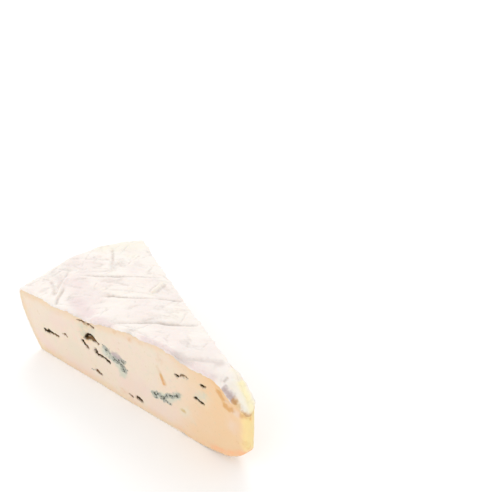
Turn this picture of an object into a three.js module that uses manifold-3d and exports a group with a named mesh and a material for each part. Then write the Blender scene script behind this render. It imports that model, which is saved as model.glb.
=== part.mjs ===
// A wedge of soft-ripened blue cheese, cut from a flat round wheel and lying on the wheel's underside.
//
// Units are millimetres and +Z is up. The wheel's middle, where the two cuts meet, is the wedge's tip and
// points along +X. The wheel's rim faces -X, the fore cut faces -Y and the rear cut faces +Y. The origin is
// the middle of the wedge's outline, on the surface that it rests on.
//
// The whole wedge is one solid. It starts as a finely divided box whose six sides become the rim, the tip,
// the two cuts, the rind on top and the base. The mould's hollows are then cut out of both cut faces.

import * as THREE from "three";
import { mergeVertices } from "three/addons/utils/BufferGeometryUtils.js";
import Module from "manifold-3d";

// ---- Driving dimensions -------------------------------------------------------------------------------

const WHEEL_RADIUS = 125;
const WEDGE_ANGLE = THREE.MathUtils.degToRad(28.6);

// The top: a low rim, a hump along the fore cut, a slow climb along the rear cut, and a crown between them
// that is highest beside the rim.
const FORE_RIM_HEIGHT = 29.5;
const FORE_CLIMB = 0.04; // rise for each mm towards the tip
const FORE_CLIMB_RUN = 65;
const HUMP_HEIGHT = 7.5;
const HUMP_START = 100; // distance from the tip
const HUMP_RUN = 62;
const REAR_RIM_HEIGHT = 30.5;
const REAR_CLIMB_HEIGHT = 8.5;
const REAR_CLIMB_RUN = 108;
const REAR_CLIMB_POWER = 1.7;
const CROWN_HEIGHT = 3.8;
const CROWN_START = 40;
const CROWN_RUN = 70;
const CROWN_LEAN = 1.2; // the crown starts slowly from the fore cut, over this share of the side to side range

// The rind has rolled down over the fore cut beside the tip.
const ROLL_DROP = 5.5;
const ROLL_START = 22;
const ROLL_RUN = 16;
const TIP_SAG = 3.5;
const TIP_SAG_RUN = 14;

// The rim leans out from the base in a soft curve, and turns over into the top.
const RIM_OVERHANG = 9.6;
const RIM_OVERHANG_HEIGHT = 28;
const RIM_OVERHANG_POWER = 1.8;
const RIM_SHOULDER_RUN = 4;
const RIM_SHOULDER_DROP = 2.2;
const RIM_WAVE = 0.35;
const RIM_RIPPLE = -0.21; // a second wave along the rim, half as long

// The tip is blunt and a little swollen, rounded above and worn up from the base below.
const TIP_RADIUS = 2.2;
const TIP_CENTRE = 0.9; // distance of the round's centre from the point where the two cuts would meet
const TIP_SWELL_RUN = 20;
const TIP_SHOULDER_RUN = 5;
const TIP_SHOULDER_DROP = 3;
const TIP_LIFT = 16;
const TIP_LIFT_RUN = 32;

// Soft paste relaxes a little way out of each cut, and the rind's edge on the fore cut is wavy.
const CUT_BULGE = 0.35;
const BULGE_SHARE = 1 / 3; // the outer share of each half that the bulge takes in
const LIP_WAVES = [
  { length: 31, height: 0.42 },
  { length: 17.5, height: 0.28 },
];

// The rind's relief fades towards the rear cut, whose upper edge is nearly straight.
const REAR_SMOOTHING = 0.75;
const REAR_SMOOTHING_SHARE = 0.2;

// Vertices along, across and up the wedge, and how far they crowd towards its edges.
const STEPS_ALONG = 46;
const STEPS_ACROSS = 24;
const STEPS_UP = 10;
const EDGE_CROWDING = 0.5;
const CREASE_STEPS = 12;

// Creases pressed into the rind: points [x, y] from the wheel's middle, depth and half width.
const CREASES = [
  { depth: 0.6, width: 2.6, points: [[-126, 1], [-105, 26]] },
  { depth: 0.6, width: 2.6, points: [[-115, -9], [-101.5, 7.5], [-87, 22.5]] },
  { depth: 0.9, width: 3.2, points: [[-104.5, -2], [-82, 2.5], [-65, 15]] },
  { depth: 1.2, width: 3.2, points: [[-71.5, -15.5], [-56.5, -5], [-44.5, 9.5]] },
  { depth: 0.8, width: 2.6, points: [[-32, -9], [-21.5, 2], [-17, 4]] },
  { depth: 0.6, width: 2.6, points: [[-127, 19], [-114.5, 12.5], [-107.5, 4.5]] },
  { depth: 0.5, width: 2.4, points: [[-109, 17], [-116.5, 27.5]] },
  { depth: 0.8, width: 2.8, points: [[-99, -24], [-109.5, -14.5], [-125, 5]] },
];

// The puffed corner of the rind between rim and fore cut.
const PUFF = { x: -113, y: -25, height: 0.9, width: 9 };

// Mould hollows in the fore cut: distance from the tip, height, length, thickness, tilt in degrees.
const HOLLOW_DEPTH = 1.6;
const FORE_HOLLOWS = [
  { from: 105.5, up: 13.8, long: 9, thick: 1.7, tilt: 2 },
  { from: 96.3, up: 17, long: 3.4, thick: 1.2, tilt: 0 },
  { from: 83, up: 30, long: 10, thick: 0.9, tilt: -5 },
  { from: 84.8, up: 18.8, long: 4.4, thick: 1.7, tilt: 35 },
  { from: 80.5, up: 23.6, long: 8.5, thick: 1.6, tilt: 6 },
  { from: 77.8, up: 17.6, long: 3.8, thick: 1.8, tilt: 60 },
  { from: 72.8, up: 16.6, long: 4.8, thick: 1.6, tilt: 14 },
  { from: 69.5, up: 21.2, long: 4.2, thick: 1.6, tilt: 30 },
  { from: 65.5, up: 18.6, long: 5.4, thick: 2, tilt: 38 },
  { from: 61.6, up: 15.4, long: 3.6, thick: 1.6, tilt: 50 },
  { from: 79, up: 6.5, long: 6.4, thick: 1.5, tilt: 5 },
  { from: 61.5, up: 4.9, long: 6, thick: 1.2, tilt: 10 },
  { from: 54.6, up: 5, long: 3.6, thick: 1.5, tilt: 8 },
  { from: 41.4, up: 24, long: 6.6, thick: 1.5, tilt: 72 },
  { from: 44.5, up: 14.4, long: 5, thick: 1.7, tilt: -18 },
  { from: 37, up: 16.6, long: 7, thick: 1.6, tilt: -24 },
  { from: 33.8, up: 29.2, long: 3, thick: 1.4, tilt: 10 },
  { from: 21.7, up: 30.8, long: 2.8, thick: 1.4, tilt: 0 },
  { from: 23, up: 22.7, long: 4, thick: 1.6, tilt: 12 },
];

// The rear cut has hollows of the same kinds, spread along it by a seeded draw. up is a share of the height.
const REAR_HOLLOWS = {
  count: 12,
  seed: 11,
  from: [20, 112],
  up: [0.2, 0.78],
  long: [3, 9],
  thick: [1.2, 2],
  tilt: [-30, 40],
};

// ---- Small helpers ------------------------------------------------------------------------------------

const { clamp, lerp, degToRad } = THREE.MathUtils;
const halfAngle = WEDGE_ANGLE / 2;
const flankSlope = Math.tan(halfAngle);
const tipReach = TIP_RADIUS - TIP_CENTRE; // how far the blunt tip stands past the wheel's middle

function smooth(share) {
  const t = clamp(share, 0, 1);
  return t * t * (3 - 2 * t);
}

// 0 until the run starts, then a quarter of an ellipse up to 1 at its end.
function roundOver(share) {
  const t = clamp(share, 0, 1);
  return 1 - Math.sqrt(1 - t * t);
}

function crowd(share) {
  return share - (EDGE_CROWDING * Math.sin(2 * Math.PI * share)) / (2 * Math.PI);
}

// Mulberry32, a small seeded generator of numbers from 0 to 1.
function seededDraw(seed) {
  let state = seed;
  return () => {
    state = (state + 0x6d2b79f5) | 0;
    let t = Math.imul(state ^ (state >>> 15), 1 | state);
    t = (t + Math.imul(t ^ (t >>> 7), 61 | t)) ^ t;
    return ((t ^ (t >>> 14)) >>> 0) / 2 ** 32;
  };
}

// ---- The rind's relief --------------------------------------------------------------------------------

const creaseLines = CREASES.map(({ depth, width, points }) => {
  const curve = new THREE.CatmullRomCurve3(points.map(([x, y]) => new THREE.Vector3(x, y, 0)));
  const line = curve.getPoints(CREASE_STEPS);
  const pieces = line.slice(1).map((end, i) => new THREE.Line3(line[i], end));
  return { depth, width, pieces };
});

const nearest = new THREE.Vector3();

// How far the rind stands below (-) or above (+) its plain form at a point of the top.
function rindRelief(x, y) {
  const point = new THREE.Vector3(x, y, 0);
  let height = 0;
  for (const { depth, width, pieces } of creaseLines) {
    const distances = pieces.map((piece) => piece.closestPointToPoint(point, true, nearest).distanceTo(point));
    height -= depth * Math.exp(-((Math.min(...distances) / width) ** 2));
  }
  const fromPuff = Math.hypot(x - PUFF.x, y - PUFF.y) / PUFF.width;
  return height + PUFF.height * Math.exp(-(fromPuff ** 2));
}

// ---- The wedge's outer form ---------------------------------------------------------------------------

// Height of the top at a distance from the tip, with side from -1 on the fore cut to 1 on the rear cut.
function topHeight(fromTip, side, x, y) {
  const fromRim = WHEEL_RADIUS - fromTip;
  const fore = FORE_RIM_HEIGHT + FORE_CLIMB * clamp(fromRim, 0, FORE_CLIMB_RUN)
    + HUMP_HEIGHT * smooth((HUMP_START - fromTip) / HUMP_RUN);
  const rear = REAR_RIM_HEIGHT + REAR_CLIMB_HEIGHT * clamp(fromRim / REAR_CLIMB_RUN, 0, 1) ** REAR_CLIMB_POWER;
  const foreShare = (1 - side) / 2;
  const crown = CROWN_HEIGHT * (1 - side ** 2) * smooth((side + 1) / CROWN_LEAN)
    * smooth((fromTip - CROWN_START) / CROWN_RUN);
  const roll = ROLL_DROP * foreShare * smooth((ROLL_START - fromTip) / ROLL_RUN)
    + TIP_SAG * smooth(1 - fromTip / TIP_SAG_RUN);
  const waves = LIP_WAVES.map(({ length, height }) => height * Math.sin((2 * Math.PI * fromTip) / length));
  const lip = foreShare ** 4 * (waves[0] + waves[1]);
  const rimShoulder = RIM_SHOULDER_DROP * roundOver(1 - fromRim / RIM_SHOULDER_RUN);
  const tipShoulder = TIP_SHOULDER_DROP * roundOver(1 - (fromTip + tipReach) / TIP_SHOULDER_RUN);
  const relief = rindRelief(x, y) * (1 - REAR_SMOOTHING * smooth(1 - foreShare / REAR_SMOOTHING_SHARE));
  return lerp(rear, fore, foreShare) + crown + lip + relief - roll - rimShoulder - tipShoulder;
}

// The base is flat, apart from the tip, where the paste has worn away and rises.
function baseHeight(fromTip) {
  return TIP_LIFT * roundOver((TIP_LIFT_RUN - fromTip) / (TIP_LIFT_RUN + tipReach));
}

// Half the wedge's width at a distance along its middle line: the straight cuts, swollen at the tip.
function halfWidth(along) {
  const roundEnd = TIP_CENTRE - TIP_RADIUS * Math.sin(halfAngle);
  const swell = TIP_RADIUS * Math.cos(halfAngle) - roundEnd * flankSlope;
  return along * flankSlope + swell * smooth(1 - (along - roundEnd) / TIP_SWELL_RUN);
}

// Distances along and across the wedge, from the wheel's middle, for a place between tip (0) and rim (1).
function planPlace(outward, side, rimRadius) {
  const round = side * (Math.PI / 2 - halfAngle);
  const turn = side * halfAngle;
  const along = lerp(TIP_CENTRE - TIP_RADIUS * Math.cos(round), rimRadius * Math.cos(turn), outward);
  const across = lerp(TIP_RADIUS * Math.sin(round), rimRadius * Math.sin(turn), outward);
  return { along, across };
}

function wedgePoint(outward, side, upward) {
  const wave = RIM_WAVE * Math.sin(Math.PI * side) + RIM_RIPPLE * Math.sin(2 * Math.PI * side);
  const place = (radius) => {
    const { along, across } = planPlace(outward, side, radius);
    const edge = planPlace(outward, 1, radius);
    return { along, across: across - side * (edge.across - halfWidth(edge.along)) };
  };

  const onTop = place(WHEEL_RADIUS + wave);
  const fromTip = onTop.along / Math.cos(side * halfAngle);
  const top = topHeight(fromTip, side, -onTop.along, onTop.across);
  const base = baseHeight(fromTip);
  const z = lerp(base, top, upward);

  const tuck = RIM_OVERHANG * Math.max(0, 1 - z / RIM_OVERHANG_HEIGHT) ** RIM_OVERHANG_POWER;
  const { along, across } = place(WHEEL_RADIUS + wave - tuck);
  const intoBulge = smooth(1 - (1 - Math.abs(side)) / BULGE_SHARE);
  const bulge = CUT_BULGE * Math.sign(side) * intoBulge * Math.sin(Math.PI * upward);
  return new THREE.Vector3(-along, across + bulge, z);
}

function makeWedgeForm() {
  const geometry = new THREE.BoxGeometry(1, 1, 1, STEPS_ALONG, STEPS_ACROSS, STEPS_UP);
  geometry.deleteAttribute("normal");
  geometry.deleteAttribute("uv");
  const form = mergeVertices(geometry);
  const position = form.attributes.position;
  for (let i = 0; i < position.count; i++) {
    const outward = crowd(0.5 - position.getX(i));
    const side = 2 * crowd(0.5 + position.getY(i)) - 1;
    const upward = crowd(0.5 + position.getZ(i));
    position.setXYZ(i, ...wedgePoint(outward, side, upward));
  }
  return form;
}

// ---- The mould's hollows ------------------------------------------------------------------------------

// One hollow, an ellipsoid let into a cut face. side is -1 for the fore cut and 1 for the rear cut.
function makeHollow({ from, up, long, thick, tilt }, side) {
  const geometry = new THREE.IcosahedronGeometry(1, 1);
  geometry.deleteAttribute("normal");
  geometry.deleteAttribute("uv");
  const alongCut = new THREE.Vector3(Math.cos(halfAngle), -side * Math.sin(halfAngle), 0);
  const outOfCut = new THREE.Vector3(Math.sin(halfAngle), side * Math.cos(halfAngle), 0);
  const acrossCut = new THREE.Vector3().crossVectors(alongCut, outOfCut);
  const stance = new THREE.Matrix4()
    .makeBasis(alongCut, outOfCut, acrossCut)
    .multiply(new THREE.Matrix4().makeRotationY(side * degToRad(tilt)))
    .scale(new THREE.Vector3(long / 2, HOLLOW_DEPTH, thick / 2))
    .setPosition(alongCut.clone().multiplyScalar(-from).setZ(up));
  return mergeVertices(geometry.applyMatrix4(stance));
}

function rearHollows() {
  const draw = seededDraw(REAR_HOLLOWS.seed);
  const between = ([low, high], share) => lerp(low, high, share);
  return Array.from({ length: REAR_HOLLOWS.count }, (_, i) => {
    const from = between(REAR_HOLLOWS.from, (i + 0.25 + 0.5 * draw()) / REAR_HOLLOWS.count);
    const height = topHeight(from, 1, -from * Math.cos(halfAngle), from * Math.sin(halfAngle));
    const up = height * between(REAR_HOLLOWS.up, draw());
    const long = between(REAR_HOLLOWS.long, draw() ** 2);
    const thick = between(REAR_HOLLOWS.thick, draw());
    const tilt = between(REAR_HOLLOWS.tilt, draw());
    return { from, up, long, thick, tilt };
  });
}

// ---- Joining it all -----------------------------------------------------------------------------------

const wasm = await Module();
wasm.setup();

function toSolid(geometry) {
  return new wasm.Manifold(
    new wasm.Mesh({
      numProp: 3,
      vertProperties: geometry.attributes.position.array,
      triVerts: new Uint32Array(geometry.index.array),
    }),
  );
}

function toGeometry(solid) {
  const { vertProperties, triVerts } = solid.getMesh();
  const geometry = new THREE.BufferGeometry();
  geometry.setAttribute("position", new THREE.BufferAttribute(vertProperties, 3));
  geometry.setIndex(new THREE.BufferAttribute(triVerts, 1));
  return geometry;
}

function makeCheeseWedge() {
  const hollows = [
    ...FORE_HOLLOWS.map((hollow) => makeHollow(hollow, -1)),
    ...rearHollows().map((hollow) => makeHollow(hollow, 1)),
  ];
  const solid = hollows.reduce((body, hollow) => body.subtract(toSolid(hollow)), toSolid(makeWedgeForm()));
  const geometry = toGeometry(solid);
  geometry.computeBoundingBox();
  const middle = geometry.boundingBox.getCenter(new THREE.Vector3());
  geometry.translate(-middle.x, -middle.y, -geometry.boundingBox.min.z);
  geometry.computeVertexNormals();
  const paste = new THREE.MeshStandardMaterial({ color: "#f1dcb8", roughness: 0.55, metalness: 0 });
  const mesh = new THREE.Mesh(geometry, paste);
  mesh.name = "cheese_wedge";
  return mesh;
}

const cheese = new THREE.Group();
cheese.add(makeCheeseWedge());

export default cheese;
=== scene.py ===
"""A wedge of soft-ripened blue cheese: its paste, its bloomy rind and the blue mould in its hollows.

The script is laid out as a Blender add-on. Each operator makes one piece of the wedge around the fixed
frame, in metres, and main() runs them in order. The tables that describe the cheese are in millimetres.
"""

import math

import bpy
import numpy as np
from bpy.props import FloatProperty, FloatVectorProperty, PointerProperty, StringProperty
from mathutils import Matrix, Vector, noise
from mathutils.bvhtree import BVHTree


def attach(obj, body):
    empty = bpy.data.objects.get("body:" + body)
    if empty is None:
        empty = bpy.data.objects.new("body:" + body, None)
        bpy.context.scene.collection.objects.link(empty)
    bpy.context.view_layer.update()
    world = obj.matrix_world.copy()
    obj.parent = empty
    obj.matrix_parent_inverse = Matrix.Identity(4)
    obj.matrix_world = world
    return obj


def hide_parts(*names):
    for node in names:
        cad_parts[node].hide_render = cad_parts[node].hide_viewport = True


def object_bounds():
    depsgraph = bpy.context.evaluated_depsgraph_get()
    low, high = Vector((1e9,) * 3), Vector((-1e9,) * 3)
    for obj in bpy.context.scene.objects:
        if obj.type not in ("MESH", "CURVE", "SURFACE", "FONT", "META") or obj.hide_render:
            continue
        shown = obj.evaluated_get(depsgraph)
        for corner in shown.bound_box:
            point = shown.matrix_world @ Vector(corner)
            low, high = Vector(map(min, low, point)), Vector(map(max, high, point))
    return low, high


bl_info = {
    "name": "Blue Cheese Wedge",
    "version": (1, 0, 0),
    "blender": (4, 5, 0),
    "location": "View3D > Sidebar > Cheese",
    "description": "Makes a wedge of soft-ripened blue cheese with a bloomy rind",
    "category": "Add Mesh",
}

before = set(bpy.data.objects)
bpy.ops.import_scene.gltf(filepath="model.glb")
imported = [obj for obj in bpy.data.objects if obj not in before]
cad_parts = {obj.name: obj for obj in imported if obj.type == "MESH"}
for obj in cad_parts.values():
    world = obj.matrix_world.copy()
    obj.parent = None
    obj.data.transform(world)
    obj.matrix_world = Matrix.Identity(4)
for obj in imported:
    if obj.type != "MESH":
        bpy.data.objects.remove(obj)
CAD_LOW, CAD_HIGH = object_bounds()

MM = 0.001
NODE = "cheese_wedge"

# ---- The wedge's plan ----------------------------------------------------------------------------

WEDGE_ANGLE = math.radians(28.6)
TIP_REACH = 1.3 * MM  # how far the blunt tip stands past the wheel's middle
APEX = np.array([CAD_HIGH.x - TIP_REACH, 0.0, 0.0])  # where the two cuts would meet, on the floor
RIM_FROM = 112 * MM  # faces this far from the apex can belong to the rim

FORE, REAR = -1, 1  # the two cuts


def cut_axes(side):
    """Unit vectors of one cut: along it from the tip to the rim, and straight out of it."""
    c, s = math.cos(WEDGE_ANGLE / 2), math.sin(WEDGE_ANGLE / 2)
    return np.array([-c, side * s, 0.0]), np.array([s, side * c, 0.0])


def depth_in(points, side):
    """How far each point lies inside the plane of one cut."""
    return -(points - APEX) @ cut_axes(side)[1]


def on_cut(points, side):
    """Each point as seen straight at one cut: distance from the tip and height, in mm."""
    return np.column_stack([(points - APEX) @ cut_axes(side)[0], points[:, 2]]) / MM


def in_plan(points):
    """Each point as seen from above, from the wheel's middle, in mm."""
    return (points - APEX)[:, :2] / MM


def from_tip(points):
    """Each point's level distance from the wheel's middle, in mm."""
    return np.linalg.norm(in_plan(points), axis=1)


# ---- Marks on the rind ---------------------------------------------------------------------------

# Creases pressed into the rind while it was soft and wrapped: depth, half width, the swelling along the
# fore side (or the rear side, where negative), how much painted shade darkens it, and points seen from
# above. All but the painted shade are in mm. A crease with a negative depth is a ridge.
CREASES = [
    (0.35, 0.9, 0.25, 0.60, [(-119.5, 14.2), (-111.4, 10.5), (-104.6, 6.2), (-100.1, 2.3)]),
    (0.25, 0.9, 0.20, 0.40, [(-118.8, -1.7), (-112.5, 3.1), (-108.2, 8.7)]),
    (0.30, 0.8, 0.25, 0.50, [(-101.2, 11), (-103.6, 16.1), (-107.3, 22)]),
    (0.25, 0.8, 0.20, 0.40, [(-103.2, 13.1), (-108.6, 19.9)]),
    (0.25, 0.8, 0.20, 0.50, [(-107.9, 9.7), (-105.5, 11.9)]),
    (0.25, 0.8, 0.20, 0.50, [(-105, 13.5), (-102.6, 18.7)]),
    (0.25, 0.9, 0.20, 0.40, [(-121, -14), (-115.5, -8), (-110, -3)]),
    (0.55, 0.9, 0.45, 0.80,
     [(-110, -9.4), (-103.1, -3.1), (-98.1, 1.2), (-94.4, 4.9), (-89.2, 11.9), (-83.4, 21.2)]),
    (0.25, 1.1, 0.25, 0.45, [(-99.3, -4.4), (-93.4, 0.2), (-85.2, 4.2)]),
    (0.60, 0.9, 0.50, 0.80,
     [(-89.4, -9.4), (-84.8, -5.6), (-79.5, -0.9), (-75.9, 2.1), (-71.1, 8.6), (-63, 17.4)]),
    (0.85, 1.2, 0.60, 0.80,
     [(-72, -16.6), (-66.9, -13.4), (-63.9, -10.3), (-56.1, -1.7), (-51.7, 2.1), (-45, 12.4)]),
    (0.30, 0.8, 0.25, 0.45, [(-58.3, -13.4), (-53.1, -11.7), (-47.6, -10.2)]),
    (0.20, 0.8, 0.20, 0.35, [(-44.8, -5.5), (-36.7, -8.3)]),
    (0.20, 0.8, 0.20, 0.35, [(-39.7, -2.4), (-33.9, -2.2)]),
    (0.20, 0.8, 0.20, 0.35, [(-44, 3), (-38, 1.6), (-33.5, 1.2)]),
    (0.60, 2.0, 0.60, 0.35, [(-34, -9.2), (-29.6, -6.6), (-25.4, -2.6), (-20.3, 2.6)]),
    (0.30, 0.7, 0.20, 0.80, [(-12.5, -2.1), (-13, 0.3)]),
    (0.50, 0.7, 0.00, 0.60, [(-97.6, -25), (-101.3, -21.7), (-103.9, -18.7), (-106.5, -15.6)]),
    (0.40, 0.8, 0.00, 0.45,
     [(-102.4, -23.4), (-105.9, -20), (-109.4, -16.8), (-112.1, -14), (-117.6, -6.7)]),
    (0.35, 1.0, 0.00, 0.55, [(-118.6, -20.9), (-117.3, -19.9), (-115.3, -18.5)]),
    (0.70, 1.1, 0.00, 0.50, [(-116, -18.4), (-111.1, -19.4), (-106.9, -20.8), (-103.8, -23.2)]),
    (0.30, 0.8, 0.30, 0.55, [(-77.6, 7.4), (-79.4, 11.6), (-82.2, 16.5)]),
    (0.30, 0.8, -0.30, 0.50, [(-74.9, 9.2), (-76.9, 13.2), (-80, 17.8)]),
    (0.25, 0.8, 0.20, 0.40, [(-87, -21.4), (-82.6, -20), (-78.2, -18.6)]),
    (-0.65, 1.0, 0.00, 0.00,
     [(-99.9, -24.2), (-103.6, -20.8), (-107.1, -17.3), (-110.3, -14.2), (-112.5, -10.9)]),
    (-0.60, 1.1, 0.00, 0.00, [(-104.2, -24.6), (-107.8, -21.2), (-111.6, -17.8)]),
    (-1.10, 2.8, 0.00, 0.00, [(-117, -25.4), (-112.6, -24), (-109.4, -23.8)]),
    (-0.45, 1.2, 0.00, 0.00, [(-100.4, -8.1), (-94.7, -7), (-88.9, -5.8), (-84.1, -3.4)]),
    (-0.60, 1.3, 0.00, 0.00, [(-67.7, -16.3), (-61.8, -14.4), (-55.6, -12.6)]),
    (-0.50, 1.2, 0.00, 0.00, [(-54.5, -13.6), (-48, -11.8), (-42.4, -10.6)]),
    (-0.40, 1.0, 0.00, 0.00, [(-76.2, 8.3), (-78.2, 12.4), (-81, 17.1)]),
    (-0.60, 1.4, 0.00, 0.00, [(-24.5, -6.6), (-21.4, -3.8), (-18.6, -0.4)]),
]

# Where the rind's colour changes: what each patch brings, how strongly, its half width in mm, and points
# seen from above. The shade patches, and the lilac ones along the fore lip and the rim's edge, are painted
# shade; the yellow ones at the tip are a painted glow.
RIND_PATCHES = [
    ("lilac", 0.55, 7, [(-107, -12.4), (-97, -11.6), (-92, -13)]),
    ("lilac", 0.9, 4.5, [(-94.2, -16.8), (-87.8, -17.8), (-82.6, -18.2)]),
    ("lilac", 0.25, 7, [(-118, -4)]),
    ("lilac", 0.9, 2.6, [(-76.7, -17.9), (-71.9, -16.9), (-67, -16.5)]),
    ("lilac", 0.4, 5, [(-114.1, -26.5)]),
    ("lilac", 0.35, 4, [(-98, -2), (-90, 3)]),
    ("lilac", 0.3, 5, [(-40, -3), (-34, -3)]),
    # Painted shade along the crease near the tip, and in a patch beside it.
    ("shade", 0.85, 2.4, [(-33, -8.6), (-28, -6.1), (-23.8, -2.3), (-20, 1.9)]),
    ("shade", 0.35, 2.2, [(-15, -3), (-12, -1)]),
    ("blush", 0.6, 7, [(-114, -2.7), (-109.4, -1.8)]),
    ("blush", 0.6, 9, [(-66, 0)]),
    ("blush", 0.6, 8, [(-45, -4)]),
    ("blush", 0.5, 7, [(-84, 12)]),
    ("cream", 1.0, 7, [(-121.8, 12.7), (-119.4, 18.5), (-116.6, 24.6)]),
    ("cream", 0.7, 5, [(-108, 18)]),
    ("cream", 0.45, 3.4, [(-96, -7), (-88, -4), (-82, 2)]),
    ("cream", 0.6, 1.8, [(-76.2, 8.3), (-78.2, 12.4), (-81, 17.1)]),
    ("cream", 0.5, 7, [(-56, 7)]),
    ("cream", 0.9, 2.6, [(-9, 0), (-5, -0.4)]),
    ("cream", 0.9, 1.0, [(-3.5, -0.7), (-1.9, -1.1), (-0.4, -0.9)]),
    # Painted glow of the thin tip.
    ("tip_glow", 1.0, 1.4, [(-8.2, 2.5), (-5.2, 1.9), (-2.4, 1.3), (0.4, 0.8)]),
    ("tip_glow", 0.4, 1.6, [(-14, 3.6), (-8, 2.6)]),
]

# The same on the rind's lip over the fore cut, where the shade, lilac and mauve rows and part of the tan
# are painted shade under the lip: points are distance from the tip and height.
LIP_PATCHES = [
    # Painted shade under the lip.
    ("shade", 0.5, 1.4, [(88, 31.5), (70, 35.2)]),
    # Painted shade where the lip rolls over the cut.
    ("lilac", 0.9, 1.8, [(50, 38.3), (38.7, 39.3), (29.8, 38.6), (16.6, 37.4)]),
    ("shade", 0.3, 1.2, [(40, 37.4), (30, 37), (20, 36.4)]),
    # Painted shade in the hollow between the lip's drape and the paste.
    ("mauve", 0.8, 0.9, [(11.4, 35.6), (8.8, 34.4), (7, 33.8)]),
    ("mauve", 0.35, 1.0, [(10.4, 33.8), (8.4, 32.6)]),
    # Brown along the lip's underside at the tip, partly painted shade under the lip.
    ("tan", 0.75, 0.7, [(6.8, 33.5), (5.4, 33.1)]),
    ("amber", 0.8, 1.1, [(5.7, 32.8), (4.1, 32), (3.3, 31.4)]),
    ("tan", 0.55, 0.8, [(1.7, 31), (0.5, 30.6), (-0.4, 30.3)]),
    ("amber", 0.65, 1.2, [(3.8, 31.4), (2, 30.7), (0.4, 30.4), (-1.4, 30.6)]),
    ("tan", 0.4, 0.6, [(2.2, 31.6), (1, 31)]),
    ("amber", 1.0, 1.3, [(3.6, 30.4), (1.2, 29.8), (-1, 29.5)]),
    ("blush", 0.9, 1.4, [(6.4, 31.6), (3.8, 30.2)]),
]

# How much thicker the rind's lip is over the fore cut than elsewhere, by distance from the tip in mm.
LIP_FROM_TIP = [6, 12, 20, 36, 44, 56, 60, 74, 79, 84, 90, 99, 104]
LIP_THICKER = [1.0, 1.6, 2.2, 2.1, 1.2, 1.0, 0.75, 0.75, 1.2, 1.2, 0.75, 0.75, 1.0]

# ---- Marks on the cuts ---------------------------------------------------------------------------

# Splits and hollows that the mould has lined: what lines them, half width and depth in mm, and points,
# each a distance from the tip and a height.
FORE_SPLITS = [
    ("black", 0.61, 1.2, [(110.3, 13.9), (109, 13.5), (105.7, 14.1)]),
    ("brown", 0.49, 0.7, [(105.9, 14.1), (104.1, 14.1), (101.6, 14)]),
    ("brown", 0.27, 0.4, [(98.5, 17.3), (97.1, 17.5), (95.4, 17)]),
    ("brown", 0.37, 0.6, [(88.1, 29.7), (85.8, 30.2), (81.4, 30.8), (80.5, 30.5), (78.2, 29.9)]),
    ("black", 0.55, 0.9, [(86.2, 19.4), (85.1, 19.1), (83.8, 18)]),
    ("brown", 0.43, 0.6, [(83.9, 18.1), (83.1, 17.3)]),
    ("black", 0.55, 0.9, [(84.3, 22.5), (82.3, 24.3), (80.1, 25), (78.5, 24.1)]),
    ("brown", 0.61, 0.9, [(83.6, 21.9), (81.6, 23.2), (79.6, 23.4), (77.4, 23.2), (76.1, 22.7)]),
    ("black", 0.49, 1.0,
     [(78.3, 19.3), (78.3, 17.6), (76.9, 17), (74.2, 17.1), (72.4, 16.5), (70.8, 16.1)]),
    ("black", 0.73, 1.1, [(78.4, 18), (77.8, 17.3)]),
    ("black", 0.67, 0.9, [(71.4, 16.3), (70.8, 16.1)]),
    ("brown", 0.51, 0.9, [(79.1, 7.9), (78.2, 7.2), (76.3, 6.6)]),
    ("brown", 0.27, 0.4, [(60.8, 5.2), (59.4, 4.9), (58.6, 4.5)]),
    ("black", 0.61, 1.0, [(56.6, 5.4), (54.8, 5.5), (53.5, 4.7)]),
    ("black", 0.61, 1.0, [(34.7, 28.9), (33.2, 29.5)]),
    ("brown", 0.24, 0.3, [(32.4, 29.9), (29.7, 31.4), (28.3, 30.9)]),
    ("black", 0.51, 0.9, [(22, 30.8), (20.8, 31.1)]),
    ("brown", 0.27, 0.3, [(20.9, 31), (19.6, 31.4)]),
    ("black", 0.73, 1.1, [(25, 23.1), (24.2, 22.9)]),
    ("black", 0.43, 0.8, [(24.2, 22.9), (23.2, 22.6), (20.9, 22.2)]),
    ("black", 0.85, 1.2, [(78.5, 18.6), (78, 17)]),
    ("black", 0.75, 1.0, [(86.1, 19.6), (84.8, 18.8)]),
    ("brown", 0.60, 0.9, [(84.4, 18.4), (83, 17.2)]),
    ("black", 0.75, 1.1, [(108.2, 13.9), (107, 14)]),
    ("brown", 0.55, 0.9, [(79.6, 7.6), (78.4, 7.5)]),
    ("black", 0.70, 1.1, [(55.4, 5.4), (54.2, 5.3)]),
    ("brown", 0.50, 0.6, [(97.4, 17.2), (96.6, 17.4)]),
    ("black", 0.75, 1.1, [(34.2, 28.9), (33.4, 29.3)]),
]

# Stains and grains of mould: what they bring, how strongly, their half width in mm, and points as above.
# The bright yellow row at the tip is a painted glow of the thin tip.
TIP_STAINS_AND_GLOW = [
    ("sole", 0.35, 1.4, [(36, 0.8), (22, 2)]),
    ("sole", 0.8, 1.7, [(17, 3), (10.9, 5.2), (6.2, 8), (1.3, 11.2), (-1.3, 12.2)]),
    # painted glow of the thin tip
    ("tip_glow", 1.0, 3.6, [(-1.3, 30), (-1.3, 15)]),
]

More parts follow.
